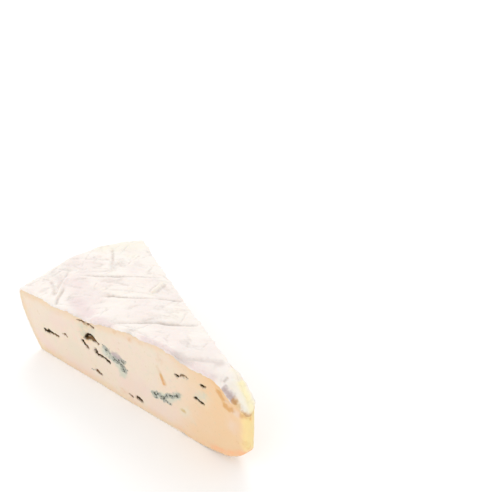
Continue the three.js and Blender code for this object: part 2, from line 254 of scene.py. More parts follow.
FORE_STAINS = [
    *TIP_STAINS_AND_GLOW,
    ("haze", 0.6, 3.0, [(85.5, 27), (79.5, 28.3)]),
    ("haze", 0.7, 2.2, [(86, 23.5), (80, 25.5)]),
    ("haze", 0.4, 1.2, [(97, 18.3)]),
    ("grain", 0.9, 1.5, [(84.2, 22.2), (81.6, 23.4), (79, 23.6)]),
    ("haze", 1.0, 2.6, [(72.5, 20.8), (68, 19.8), (64, 17), (63.3, 14)]),
    ("grain", 1.0, 1.9, [(72.3, 22.6), (70.6, 21.6)]),
    ("grain", 0.8, 2.0, [(70.5, 20.4), (67.6, 19.6)]),
    ("mauve", 0.9, 1.8, [(67.8, 22), (64.6, 21.9)]),
    ("grain", 1.0, 2.3, [(67, 19.8), (65, 19.2), (63.4, 18.2), (62.2, 16.8)]),
    ("grain", 0.9, 1.3, [(63.6, 21.2), (61.4, 20.6)]),
    ("haze", 0.8, 1.7, [(63.5, 14.2), (64.4, 12.6)]),
    ("mauve", 0.35, 1.1, [(61, 13.2)]),
    ("grain", 0.9, 0.8, [(81.7, 6.6), (80.6, 7)]),
    ("grain", 0.7, 1.1, [(24.6, 22.8), (22.4, 23)]),
    ("grain", 0.7, 1.0, [(30.6, 30.8), (29, 30.6)]),
    ("haze", 0.3, 1.5, [(79, 7.6), (76, 6.6)]),
    ("amber", 0.35, 2.2, [(64.5, 5.1), (60, 5)]),
    ("amber", 0.3, 1.6, [(57, 5)]),
    ("haze", 0.9, 2.3, [(46.4, 12.8), (42, 14.4), (38, 15.6), (33.5, 19.4)]),
    ("grain", 1.0, 1.7, [(46.7, 13.5), (45.6, 12.2)]),
    ("grain", 0.9, 1.7, [(44.2, 14.6), (42.4, 13.4), (40.6, 14.4)]),
    ("grain", 1.0, 1.5, [(39.7, 15.8), (37.4, 17.2), (35.2, 18.3), (33.4, 20)]),
    ("grain", 1.0, 1.4, [(40.8, 12.8), (38.6, 12.8)]),
    ("amber", 0.9, 1.2, [(42.1, 25), (41.2, 23.4), (40.5, 21.5)]),
    ("ochre", 0.5, 1.6, [(43.4, 27.6), (42.1, 25)]),
    ("haze", 0.5, 1.4, [(31, 30.4), (28.6, 31)]),
    ("grain", 0.6, 0.8, [(29.4, 31.4)]),
    ("ochre", 0.5, 0.9, [(35, 31.2)]),
    ("haze", 0.5, 1.6, [(22.5, 30.6), (20, 31)]),
    ("haze", 0.6, 2.6, [(24, 24), (20.7, 26.8)]),
    ("haze", 0.3, 2.0, [(29, 8.2), (26, 9.4)]),
    ("haze", 0.4, 1.0, [(19.6, 24.4), (16.4, 27)]),
    ("cream", 0.5, 2.2, [(26.6, 10.8)]),
    ("ochre", 0.45, 0.6, [(24.4, 12.4), (22.6, 12)]),
    ("ochre", 0.9, 1.2, [(31.5, 13)]),
    ("cream", 0.8, 2.2, [(31.5, 11.6), (29.4, 14)]),
    ("ochre", 0.5, 0.7, [(27.4, 10.4)]),
    ("amber", 0.5, 0.8, [(35.5, 5.9)]),
    ("mauve", 0.25, 1.8, [(36.3, 9.7)]),
    ("amber", 0.25, 0.7, [(26.2, 11.1)]),
    ("amber", 0.25, 0.8, [(21.1, 15.6)]),
    ("mauve", 0.5, 0.8, [(63.5, 35.3)]),
    ("amber", 0.5, 1.6, [(66.2, 33.9)]),
    ("amber", 0.5, 1.5, [(57.7, 34.2)]),
    ("amber", 0.4, 1.6, [(51.9, 35.4)]),
    ("amber", 0.35, 3.2, [(42, 33)]),
    ("amber", 0.9, 1.3, [(13.4, 33.2), (12.3, 32), (11, 30.8)]),
    ("amber", 1.0, 1.3, [(10, 28.9), (8.1, 28.7), (6.5, 29.1)]),
    # Painted shade in the hollow under the rind's lip.
    ("mauve", 0.35, 1.3, [(10.2, 30.8), (8.2, 31.6)]),
    ("pink", 0.9, 1.6, [(6, 28.9), (3.8, 28.8)]),
    ("amber", 0.6, 1.1, [(2.2, 29.2), (-1, 28.8)]),
    ("amber", 0.35, 1.7, [(1.1, 17.1), (-0.2, 15.9), (-0.9, 14.6)]),
    ("amber", 0.4, 0.8, [(3.9, 15.8), (2.9, 14.9)]),
    ("pink", 0.9, 6, [(100.6, 22.5)]),
    ("pink", 0.9, 4, [(114.4, 8), (108, 5)]),
    ("pink", 0.8, 5, [(96, 3), (84, 2)]),
    ("pink", 0.7, 7, [(62, 9), (54, 12)]),
    ("pink", 0.6, 6, [(47, 5), (36, 8)]),
    ("pink", 0.5, 5, [(6, 22)]),
    ("cream", 0.7, 7, [(91, 12)]),
    ("cream", 0.6, 5, [(75, 29)]),
    ("cream", 0.5, 5, [(105, 25)]),
    ("cream", 0.6, 6, [(22, 25)]),
]

# The rear cut has marks of the same kinds at places of their own.
REAR_SPLITS = [
    ("black", 0.61, 1.1, [(108.4, 13.8), (106, 14.4), (104.2, 14.8)]),
    ("brown", 0.49, 0.8, [(101.8, 14.6), (99.4, 15.4), (97.2, 15.8)]),
    ("black", 0.51, 1.0, [(93.8, 9.2), (90.6, 8.4), (88.8, 8.6)]),
    ("brown", 0.49, 0.7, [(88.4, 8.2), (85.6, 7.4), (83.8, 7.6)]),
    ("black", 0.49, 0.9, [(77.2, 20.8), (75.8, 20.2), (74.6, 20.4)]),
    ("brown", 0.51, 0.8, [(71.2, 8.4), (68.8, 7.6), (66.8, 7.4)]),
    ("black", 0.55, 1.0, [(65.8, 22.8), (63.4, 22.2), (61.4, 22.6)]),
    ("brown", 0.37, 0.6, [(56.8, 9.8), (54.6, 9.2), (52.8, 9.4)]),
    ("black", 0.55, 0.9, [(46.8, 10.8), (44.4, 10.6)]),
    ("black", 0.49, 0.9, [(40.2, 25.2), (38, 24.8)]),
    ("brown", 0.49, 0.7, [(33.2, 9.2), (31.4, 8.8), (29.8, 9)]),
    ("black", 0.55, 1.0, [(25.2, 18.4), (23.8, 19.2), (22.4, 20.2)]),
    ("brown", 0.30, 0.4, [(95, 24.6), (92.2, 25.2), (90, 24.8)]),
]

REAR_STAINS = [
    *TIP_STAINS_AND_GLOW,
    ("haze", 0.6, 2.0, [(107, 15.2), (104.5, 15.6)]),
    ("haze", 0.9, 2.4, [(98, 18), (93, 19.6), (90, 18.6)]),
    ("grain", 1.0, 1.4, [(97.4, 18.2), (95.2, 19)]),
    ("grain", 0.9, 1.5, [(92.2, 19.4), (90.4, 18.4)]),
    ("mauve", 0.7, 1.6, [(94.6, 17.6), (92.6, 17.8)]),
    ("haze", 0.5, 1.8, [(76, 21.6), (73.8, 21.2)]),
    ("haze", 1.0, 2.5, [(63, 24.2), (58.6, 25.4), (56, 23.8)]),
    ("grain", 1.0, 1.4, [(60.8, 25), (58.4, 25.6)]),
    ("grain", 0.9, 1.3, [(57, 24.2), (55.8, 22.8)]),
    ("mauve", 0.6, 1.5, [(59.6, 23.6)]),
    ("haze", 0.8, 2.0, [(45.6, 12.6), (42.4, 13.6)]),
    ("grain", 0.9, 1.2, [(44.6, 12.8), (42.6, 13.4)]),
    ("haze", 0.6, 1.8, [(38.6, 26)]),
    ("grain", 0.8, 1.0, [(37, 26.2)]),
    ("haze", 0.5, 1.6, [(24, 20.6)]),
    ("amber", 0.8, 1.1, [(81.4, 13.8), (80.6, 11.4)]),
    ("amber", 0.5, 2.0, [(70.6, 8.8), (67.4, 8.2)]),
    ("amber", 0.4, 2.6, [(46, 33)]),
    ("ochre", 0.8, 1.1, [(50.6, 17.8)]),
    ("ochre", 0.6, 1.0, [(16.6, 13.4)]),
    ("amber", 0.9, 1.5, [(12.6, 28.4), (11.2, 26.8)]),
    ("pink", 0.8, 6, [(104, 8)]),
    ("pink", 0.7, 6, [(80, 26)]),
    ("pink", 0.7, 7, [(52, 14)]),
    ("pink", 0.6, 6, [(30, 18)]),
    ("cream", 0.6, 7, [(90, 14)]),
    ("cream", 0.6, 6, [(66, 16)]),
]

# ---- Settings ------------------------------------------------------------------------------------


def colour_of(name, what, colour):
    """A setting that holds the sRGB colour of something, as #rrggbb."""
    return StringProperty(name=name, description="sRGB colour of " + what, default=colour)


class CHEESE_PG_rind(bpy.types.PropertyGroup):
    thickness: FloatProperty(
        name="Thickness", description="Usual thickness of the rind, in metres", default=1.2 * MM,
        unit="LENGTH")
    unevenness: FloatProperty(
        name="Unevenness", description="How much the thickness varies, as a share", default=0.4,
        min=0, max=1, subtype="FACTOR")
    overhang: FloatProperty(
        name="Overhang", description="How far the rind's lip hangs over a cut, in metres",
        default=0.35 * MM, unit="LENGTH")
    voxel: FloatProperty(
        name="Voxel", description="Edge of a voxel of the finished rind, in metres", default=0.38 * MM,
        unit="LENGTH")
    bloom: colour_of("Bloom", "the bloom", "#f0e8e1")
    blush: colour_of("Blush", "the pinkish rind under the bloom", "#eadfda")
    # Lilac: a pinkish tone in patches on the top, and painted shade along the fore lip and the rim's edge.
    lilac: colour_of("Lilac", "rind where the bloom is thin", "#e3d2d0")
    # Shade: painted shade, laid along a crease and under the lip.
    shade: colour_of("Shade", "dull patches", "#d4c8c2")
    cream: colour_of("Cream", "creamy patches", "#eee7da")
    # The creases' colour is painted shade, darkening the grooves.
    crease: colour_of("Crease", "the creases' depths", "#c6bbb3")
    # The tip's painted glow, yellow where the rind is thin.
    tip_glow: colour_of("Butter", "thin rind at the tip", "#f8ebc0")
    # Mauve: painted shade in the hollow under the lip near the tip.
    mauve: colour_of("Mauve", "bruised rind", "#b3a09f")
    amber: colour_of("Amber", "paste-stained rind", "#e0b881")
    # Tan: brown rind at the tip, laid where the lip's underside is shaded, so partly painted shade.
    tan: colour_of("Tan", "rind gone brown", "#bb8e5c")
    edge: colour_of("Edge", "the thin rind around the base", "#e8d6c2")
    sole: colour_of("Sole", "the base's edge near the tip", "#efb78a")


class CHEESE_PG_paste(bpy.types.PropertyGroup):
    voxel: FloatProperty(
        name="Voxel", description="Edge of a voxel of the finished paste, in metres", default=0.32 * MM,
        unit="LENGTH")
    inset: FloatProperty(
        name="Inset", description="How far the rind reaches into the paste, in metres", default=0.25 * MM,
        unit="LENGTH")
    bulge: FloatProperty(
        name="Bulge", description="How far soft paste stands out of a cut, in metres", default=0.3 * MM,
        unit="LENGTH")
    young: colour_of("Young", "paste by the rim", "#e5d4c1")
    ripe: colour_of("Ripe", "riper paste", "#e8c191")
    pink: colour_of("Pink", "pinkish paste", "#e6cfc1")
    cream: colour_of("Cream", "greenish cream paste", "#dfd4be")
    sole: colour_of("Sole", "paste by the base at the tip", "#efb78a")
    # The tip's painted glow, yellow where the paste is thin.
    tip_glow: colour_of("Butter", "thin paste at the tip", "#f0d89c")
    amber: colour_of("Amber", "the oldest paste", "#d5a061")
    ochre: colour_of("Ochre", "yellow stains", "#cbb074")
    # Mauve: stains among the mould, and at the tip, painted shade under the rind's lip.
    mauve: colour_of("Mauve", "mauve stains", "#b7a7a8")
    haze: colour_of("Haze", "young mould", "#c8cab9")
    slate: colour_of("Slate", "paste between grains of mould", "#9fa29a")
    grain: colour_of("Grain", "grains of ripe mould", "#393c32")
    brown: colour_of("Brown", "mould down a split", "#725432")
    black: colour_of("Black", "old mould down a split", "#362710")


class CHEESE_PG_stage(bpy.types.PropertyGroup):
    lens: FloatProperty(name="Lens", description="Focal length on a 36 mm sensor, in mm", default=62.2)
    camera: FloatVectorProperty(
        name="Camera", description="Where the camera stands, in metres",
        default=(0.23382, -0.13346, 0.23839), unit="LENGTH")
    target: FloatVectorProperty(
        name="Target", description="Where the camera looks, in metres",
        default=(-0.06192, 0.09346, 0.0), unit="LENGTH")
    sky: FloatProperty(name="Sky", description="Strength of the white studio all around", default=0.93)
    floor: colour_of("Floor", "the paper floor", "#fdfdfd")


# ---- Working on meshes ---------------------------------------------------------------------------


def pick_only(piece):
    """Deselects all, then selects one piece and makes it the active one."""
    bpy.ops.object.select_all(action="DESELECT")
    piece.select_set(True)
    bpy.context.view_layer.objects.active = piece


def finish_with(piece, kind, **settings):
    """Gives a piece one modifier and applies it."""
    pick_only(piece)
    modifier = piece.modifiers.new(kind, kind)
    for name, value in settings.items():
        setattr(modifier, name, value)
    bpy.ops.object.modifier_apply(modifier=modifier.name)


def merged_copy(name):
    """A new piece with the frame's solid as its mesh, its corners merged."""
    piece = bpy.data.objects.new(name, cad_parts[NODE].data.copy())
    piece.data.name = name
    piece.data.materials.clear()
    bpy.context.scene.collection.objects.link(piece)
    pick_only(piece)
    bpy.ops.object.mode_set(mode="EDIT")
    bpy.ops.mesh.select_all(action="SELECT")
    bpy.ops.mesh.customdata_custom_splitnormals_clear()
    bpy.ops.mesh.remove_doubles(threshold=0.001 * MM)
    bpy.ops.object.mode_set(mode="OBJECT")
    return piece


def edit_faces(piece, chosen, step):
    """Selects the faces that chosen marks True, then runs an edit-mode step on them."""
    pick_only(piece)
    bpy.ops.object.mode_set(mode="EDIT")
    bpy.ops.mesh.select_mode(type="FACE")
    bpy.ops.mesh.select_all(action="DESELECT")
    bpy.ops.object.mode_set(mode="OBJECT")
    piece.data.polygons.foreach_set("select", np.asarray(chosen, bool))
    bpy.ops.object.mode_set(mode="EDIT")
    step()
    bpy.ops.object.mode_set(mode="OBJECT")


def read_vectors(items, name):
    values = np.empty(len(items) * 3)
    items.foreach_get(name, values)
    return values.reshape(-1, 3)


def points_of(piece):
    return read_vectors(piece.data.vertices, "co")


def set_points(piece, points):
    """Moves a piece's vertices, and keeps them inside the frame's box."""
    inside = np.clip(points, np.array(CAD_LOW), np.array(CAD_HIGH))
    piece.data.vertices.foreach_set("co", np.asarray(inside, np.float32).ravel())
    piece.data.update()


def tree_of(piece):
    """A piece's faces as a tree that can be searched."""
    mesh = piece.data
    return BVHTree.FromPolygons([v.co for v in mesh.vertices], [p.vertices for p in mesh.polygons])


def write_field(piece, name, values):
    """Keeps one number for each vertex, for a material to read."""
    field = piece.data.attributes.new(name, "FLOAT", "POINT")
    field.data.foreach_set("value", np.asarray(values, np.float32))


def name_group(piece, name, chosen):
    """Makes the vertices that chosen marks True a group, for a modifier to work on."""
    group = piece.vertex_groups.new(name=name)
    group.add([int(i) for i in np.flatnonzero(chosen)], 1.0, "REPLACE")
    return group.name


def thin_out(piece, spare, keep):
    """Joins small faces where the vertices are marked spare, until only a share of the faces is left."""
    finish_with(piece, "DECIMATE", ratio=keep, vertex_group=name_group(piece, "spare", spare))


NOSE_REACH = 7  # mm from the tip within which the edges have softened
ROUNDS, NOSE_ROUNDS = 3, 14  # how often neighbouring vertices are drawn together, all over and there


def close_up(piece, voxel):
    """Makes a piece one closed surface of fine voxels, smooth, and rounder near the tip."""
    finish_with(piece, "REMESH", mode="VOXEL", voxel_size=voxel, use_smooth_shade=True)
    finish_with(piece, "SMOOTH", factor=0.5, iterations=ROUNDS)
    nose = name_group(piece, "nose", from_tip(points_of(piece)) < NOSE_REACH)
    finish_with(piece, "SMOOTH", factor=0.5, iterations=NOSE_ROUNDS, vertex_group=nose)


def smooth(share):
    t = np.clip(share, 0.0, 1.0)
    return t * t * (3 - 2 * t)


def lumps(points, size, shift=0.0):
    """Smooth noise from -1 to 1 at each point, with lumps of about that size in mm."""
    places = points / (np.asarray(size) * MM) + shift
    return np.array([noise.noise(Vector(p)) for p in places])


def waves(points, sizes):
    """Lumps of several sizes on top of one another: each row has a strength, a size in mm and a shift."""
    return sum(strength * lumps(points, size, shift) for strength, size, shift in sizes)


def stray(points, sizes):
    """How far marks stray at each point, both ways, in mm: each row has a reach, a size and two shifts."""
    return sum(
        reach * np.column_stack([lumps(points, size, shift) for shift in shifts])
        for reach, size, *shifts in sizes)


# ---- Lines and the marks along them --------------------------------------------------------------

CURVE_STEPS = 6


def curve_through(points):
    """A smooth line through a few points, as a Catmull-Rom spline."""
    p = np.array(points, float)
    if len(p) < 3:
        return p
    p = np.vstack([2 * p[0] - p[1], p, 2 * p[-1] - p[-2]])
    line = []
    for a, b, c, d in zip(p, p[1:], p[2:], p[3:]):
        for t in np.arange(CURVE_STEPS) / CURVE_STEPS:
            square, cube = 2 * a - 5 * b + 4 * c - d, 3 * b - a - 3 * c + d
            line.append(0.5 * (2 * b + (c - a) * t + square * t ** 2 + cube * t ** 3))
    return np.vstack([line, p[-2]])


def beside(places, line):
    """Each place's distance from a line, positive on its left, and its share of the way along the line."""
    if len(line) == 1:
        return np.linalg.norm(places - line[0], axis=1), np.full(len(places), 0.5)
    lengths = np.linalg.norm(np.diff(line, axis=0), axis=1)
    best = np.full(len(places), np.inf)
    signed, share = np.zeros(len(places)), np.zeros(len(places))
    run = 0.0
    for start, end, length in zip(line, line[1:], lengths):
        direction = (end - start) / length
        gone = places - start
        t = np.clip(gone @ direction, 0, length)
        distance = np.linalg.norm(gone - np.outer(t, direction), axis=1)
        nearer = distance < best
        best[nearer] = distance[nearer]
        left = direction[0] * gone[:, 1] - direction[1] * gone[:, 0] >= 0
        signed[nearer] = np.where(left, distance, -distance)[nearer]
        share[nearer] = (run + t[nearer]) / lengths.sum()
        run += length
    return signed, share


def stain_fields(places, stains):
    """What a table of stains brings to each place, one field for each kind."""
    fields = {}
    for kind, strength, reach, line in stains:
        gap, _ = beside(places, curve_through(line))
        here = strength * np.exp(-((gap / reach) ** 2))
        fields[kind] = np.maximum(fields.get(kind, 0.0), here)
    return fields


# ---- The rind ------------------------------------------------------------------------------------

# Which faces are rind: how squarely a face has to look outwards, up or down.
RIM_FACING = 0.5
TOP_FACING = 0.3
BASE_FACING = -0.8
BASE_FROM_TIP = 32  # mm: nearer the tip the underside curls up and the paste shows
SAME_HEIGHT = 0.2 * MM  # a ray that ends this near a face's middle has met that face
QUAD_ANGLE = math.radians(50)  # triangles that turn less than this can be joined in pairs

# How thick it is. Rows of lumps have a strength, a size in mm and a shift.
THICKNESS_LUMPS = [(1.1, 9, 3.1), (0.9, 3.5, 8.7)]
LIP_BLEND = 6 * MM  # the thicker lip fades into the rind over this distance from the fore cut
BASE_THINNER = 0.45  # the rind lies thin on the base, where it was pressed
BASE_BLEND = (1 * MM, 4 * MM)  # from this height, and over this rise, it thickens again

# Its relief, in mm.
CREASE_STRAY = [(0.45, 7, 1.3, 5.9), (0.15, 1.8, 2.4, 6.6)]  # reach, size and two shifts
CREASE_USUAL = 0.9  # usual share of a crease's depth, and the lumps that change it, within limits
CREASE_LUMPS = [(0.5, 6, 9.1)]
CREASE_LIMITS = (0.5, 1.15)
CREASE_ENDS = 1 / 7  # share of its length over which a crease fades out at each end
SWELL_GAP = 1.9  # from a crease to the swelling beside it
SWELL_WIDTH = 1.6
FOLDS = math.radians(40)  # which way most folds run, seen from above
CROSS_FOLDS = math.radians(118)
FOLD_WAVES = [(0.25, 24, 6, 2.2), (0.14, 9, 2.2, 6.1)]  # height, length, spacing, shift
STREAKS = (14, 2.2, 8.8)  # length, spacing and shift of dull streaks along the folds
FINE_CREASES = [
    # direction, length, spacing, sharpness, strength, shift
    (FOLDS, 34, 6.5, 0.10, 0.75, 2.2),
    (FOLDS + 0.2, 20, 3.6, 0.10, 0.6, 7.4),
    (CROSS_FOLDS, 22, 5.5, 0.09, 0.75, 4.8),
]
FINE_CREASE_BREAKS = (0.45, 1.3, 7, 3.3)  # usual share; strength, size and shift of the lumps
FINE_CREASE_DEPTH = 0.28
# Share of painted shade laid in the fine creases.
FINE_CREASE_SHADE = 0.6
SKIN_LUMPS = [(0.12, 8, 4.2), (0.06, 1.6, 4.4)]
LEFT_UNDER_CREASES = 0.45  # rind left under the deepest crease
RELIEF_REACH = 0.8  # the relief has faded out this far down, as a share of the thickness

# Its lip over each cut: how far in it starts to round off, and what share of that it drops.
LIP_RADII = [(FORE, 1.0 * MM), (REAR, 0.7 * MM)]
LIP_DROP = 0.8
HANG_REACH = 1.4 * MM  # the part of the lip that hangs over
HANG_USUAL = 0.6
HANG_LUMPS = [(1.3, 5, 9.3), (1.4, 1.7, 2.9)]
HANG_LIMITS = (-0.15 * MM, 0.9 * MM)
LIP_MARKS_REACH = 2.5 * MM  # how far in from the fore cut the lip's marks reach

BASE_EDGE = 3 * MM  # width of the stained edge around the base
UNDER_FROM, UNDER_RUN = 7 / 12, 1 / 6  # how squarely rind faces down where that edge starts, and its run
SOLE_FROM, SOLE_RUN = 42, 30  # mm from the tip where the sole's stain starts, and over how much it grows
RIND_KEPT = 0.55  # share of its faces
HIDDEN_DEPTH = 0.6  # faces deeper than this share of the thickness are spare
HIDDEN_FACING = -0.5  # and so are faces over which the skin looks down more than this
CUT_EDGE = 2 * MM  # but all the faces this near a cut are kept


def rind_thickness(points, settings):
    """The rind's thickness at each point of the wedge's skin: uneven, and thicker over the fore cut."""
    uneven = settings.unevenness * np.clip(waves(points, THICKNESS_LUMPS), -1, 1)
    by_fore = smooth(1 - depth_in(points, FORE) / LIP_BLEND)
    thicker = 1 + (np.interp(on_cut(points, FORE)[:, 0], LIP_FROM_TIP, LIP_THICKER) - 1) * by_fore
    base, rise = BASE_BLEND
    thicker *= BASE_THINNER + (1 - BASE_THINNER) * smooth((points[:, 2] - base) / rise)
    return settings.thickness * thicker * (1 + uneven)


def rind_faces(piece):
    """Which of the solid's faces are rind: what shows from straight above, the wheel's rim and its base."""
    mesh = piece.data
    centres = read_vectors(mesh.polygons, "center")
    normals = read_vectors(mesh.polygons, "normal")
    tree = tree_of(piece)
    chosen = np.zeros(len(centres), bool)
    for i, (centre, normal) in enumerate(zip(centres, normals)):
        outward = (centre - APEX)[:2]
        reach = math.hypot(*outward)
        on_rim = reach > RIM_FROM and np.dot(normal[:2], outward) / reach > RIM_FACING
        up = 1 if normal[2] > 0 else -1
        hit = tree.ray_cast(Vector((centre[0], centre[1], up)), Vector((0, 0, -up)))[0]
        outermost = hit is not None and abs(hit.z - centre[2]) < SAME_HEIGHT
        on_base = normal[2] < BASE_FACING and from_tip(centre[None])[0] > BASE_FROM_TIP
        chosen[i] = on_rim or outermost and (normal[2] > TOP_FACING or on_base)
    return chosen


def make_skin(name):
    """The top, the rim and the base of the wedge as one fine open sheet."""
    skin = merged_copy(name)
    edit_faces(skin, ~rind_faces(skin), lambda: bpy.ops.mesh.delete(type="FACE"))
    edit_faces(
        skin, np.ones(len(skin.data.polygons), bool),
        lambda: bpy.ops.mesh.tris_convert_to_quads(face_threshold=QUAD_ANGLE, shape_threshold=QUAD_ANGLE))
    finish_with(skin, "SUBSURF", levels=2, render_levels=2)
    return skin


def nearest_on(skin, points):
    """Each point's distance from a sheet, and which way the sheet faces there."""
    tree = tree_of(skin)
    distances, facing = np.empty(len(points)), np.empty((len(points), 3))
    for i, point in enumerate(points):
        _, facing[i], _, distances[i] = tree.find_nearest(Vector(point))
    return distances, facing


def crease_relief(points):
    """How far the creases move each point of the rind, in mm, and how much painted shade they lay there."""
    broken = np.clip(CREASE_USUAL + waves(points, CREASE_LUMPS), *CREASE_LIMITS)
    places = in_plan(points) + stray(points, CREASE_STRAY)
    relief, crease_shade = np.zeros(len(points)), np.zeros(len(points))
    for depth, width, swelling, shade_share, line in CREASES:
        signed, share = beside(places, curve_through(line))
        ends = smooth(share / CREASE_ENDS) * smooth((1 - share) / CREASE_ENDS)
        groove = np.exp(-((signed / width) ** 2)) * ends
        swell = np.exp(-(((signed + SWELL_GAP * np.sign(swelling)) / SWELL_WIDTH) ** 2)) * ends
        relief += abs(swelling) * swell - depth * groove * broken
        crease_shade = np.maximum(crease_shade, shade_share * groove * broken)
    return relief, crease_shade


def fold_noise(points, direction, along, across, shift):
    """Noise drawn out along the way that some folds run: long, narrow swellings."""
    c, s = math.cos(direction), math.sin(direction)
    turned = np.column_stack([points @ np.array([c, s, 0]), points @ np.array([-s, c, 0]), points[:, 2]])
    return lumps(turned, (along, across, across), shift)


def fine_creases(points):
    """Creases too fine to be set out one by one, from 0 to 1: they run where long swellings meet."""
    field = np.zeros(len(points))
    usual, more, size, further = FINE_CREASE_BREAKS
    for direction, along, across, sharpness, strength, shift in FINE_CREASES:
        meeting = np.exp(-((fold_noise(points, direction, along, across, shift) / sharpness) ** 2))
        broken = smooth(usual + more * lumps(points, size, shift + further))
        field = np.maximum(field, strength * meeting * broken)
    return field


class CHEESE_OT_rind(bpy.types.Operator):
    """Make the bloomy rind over the top, the rim and the base"""

    bl_idname = "cheese.rind"
    bl_label = "Rind"

    def execute(self, context):
        settings = context.scene.cheese_rind
        skin = make_skin("skin")
        rind = make_skin("rind")

        thickness = rind_thickness(points_of(rind), settings)
        group = rind.vertex_groups.new(name="thickness")
        for i, share in enumerate(thickness / thickness.max()):
            group.add([i], float(share), "REPLACE")
        finish_with(rind, "SOLIDIFY", thickness=float(thickness.max()), offset=-1, use_even_offset=True,
                    vertex_group="thickness")
        close_up(rind, settings.voxel)

        points = points_of(rind)
        distance, facing = nearest_on(skin, points)
        bpy.data.objects.remove(skin)
        outer = smooth(1 - distance / (RELIEF_REACH * settings.thickness))
        above = smooth(1 + facing[:, 2])  # no relief on the base
        upward = np.clip(facing[:, 2], 0, 1)
        relief, crease_shade = crease_relief(points)
        fine = fine_creases(points)
        for height, along, across, shift in FOLD_WAVES:
            relief += height * fold_noise(points, FOLDS, along, across, shift)
        relief += waves(points, SKIN_LUMPS) - FINE_CREASE_DEPTH * fine
        relief = above * np.maximum(relief, LEFT_UNDER_CREASES - rind_thickness(points, settings) / MM)
        moved = points + facing * (outer * relief * MM)[:, None]
        hang = settings.overhang * (HANG_USUAL + waves(points, HANG_LUMPS))
        for side, radius in LIP_RADII:
            inside = depth_in(points, side)
            lip = np.clip(1 - inside / radius, 0, 1)
            moved[:, 2] -= outer * upward * radius * LIP_DROP * (1 - np.sqrt(1 - lip ** 2))
            edge = upward * smooth(1 - inside / HANG_REACH)
            moved += np.outer(edge * np.clip(hang, *HANG_LIMITS), cut_axes(side)[1])
        set_points(rind, moved)

        fields = stain_fields(in_plan(points), RIND_PATCHES)
        by_fore = smooth(1 - depth_in(points, FORE) / LIP_MARKS_REACH)
        for kind, values in stain_fields(on_cut(points, FORE), LIP_PATCHES).items():
            fields[kind] = np.maximum(fields.get(kind, 0.0), values * by_fore)
        # Painted shade in the creases, coarse and fine, kept off the base.
        fields["crease"] = np.maximum(crease_shade, FINE_CREASE_SHADE * fine) * above
        fields["streak"] = 0.5 + 0.5 * fold_noise(points, FOLDS, *STREAKS)
        nearest_cut = np.minimum(depth_in(points, FORE), depth_in(points, REAR))
        under = smooth((-facing[:, 2] - UNDER_FROM) / UNDER_RUN)
        fields["edge"] = smooth(1 - nearest_cut / BASE_EDGE) * under
        fields["sole"] = fields["edge"] * smooth((SOLE_FROM - from_tip(points)) / SOLE_RUN)
        for kind, values in fields.items():
            write_field(rind, kind, values)

        hidden = (distance > HIDDEN_DEPTH * settings.thickness) | (facing[:, 2] < HIDDEN_FACING)
        thin_out(rind, hidden & (nearest_cut > CUT_EDGE), RIND_KEPT)
        rind.data.materials.append(bloomy_rind(settings))
        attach(rind, "root")
        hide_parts(NODE)
        return {"FINISHED"}


# ---- The paste -----------------------------------------------------------------------------------

GIVE_WAY = 3 * MM  # the paste gives way to the rind within this distance of the skin
CUT_DEPTH = 3 * MM  # how deep a cut's marks reach
CUT_LUMPS = [(0.10, 9, 1.9), (0.05, 3, 4.7)]  # height, size and shift, in mm
MARK_STRAY = [(0.45, 2.2, 7.7, 3.3), (0.2, 0.8, 1.7, 8.3)]  # reach, size and two shifts
STAIN_STRAY = 1.5  # stains stray this much further than splits
SPLIT_LUMPS = [(0.9, 0.9, 5.1)]  # how unevenly a split runs
SPLIT_END = 0.45  # a split's width at its ends, as a share of its width half way
BULGE_EDGE = 5 * MM  # the bulge grows over this distance from the skin and the base
BULGE_ENDS = (4, 125, 6)  # mm from the tip where it starts and ends, and over how much it grows there
LEAST_BULGE = 0.05 * MM
RIPE_FROM, RIPE_RUN = 56, 52  # mm from the tip where the paste starts to ripen, and over how much it does
NO_SPLIT = -9  # stands for a place far outside any split
MOULD_FADE = 0.25  # mm outside a split over which its mould's dullness fades
HAZE_DULLNESS = 0.5
PASTE_KEPT = 0.44  # share of its faces
LEAST_PIT, LEAST_STAIN = 0.02, 0.15  # faces in pits this deep, in mm, or stains this strong are kept
CUTS = [(FORE, FORE_SPLITS, FORE_STAINS), (REAR, REAR_SPLITS, REAR_STAINS)]


def split_fields(places, rough, splits):
    """The splits' depth at each place in mm, and for each lining how far inside a split the place is."""
    pit = np.zeros(len(places))
    fields = {}
    for lining, width, depth, line in splits:
        gap, share = beside(places, curve_through(line))
        taper = SPLIT_END + (1 - SPLIT_END) * np.sqrt(np.clip(4 * share * (1 - share), 0, 1))
        inside = width * taper * (1 + rough) - np.abs(gap)
        pit = np.maximum(pit, depth * smooth(0.5 + 0.5 * inside / width))
        fields[lining] = np.maximum(fields.get(lining, NO_SPLIT), inside)
    return pit, fields


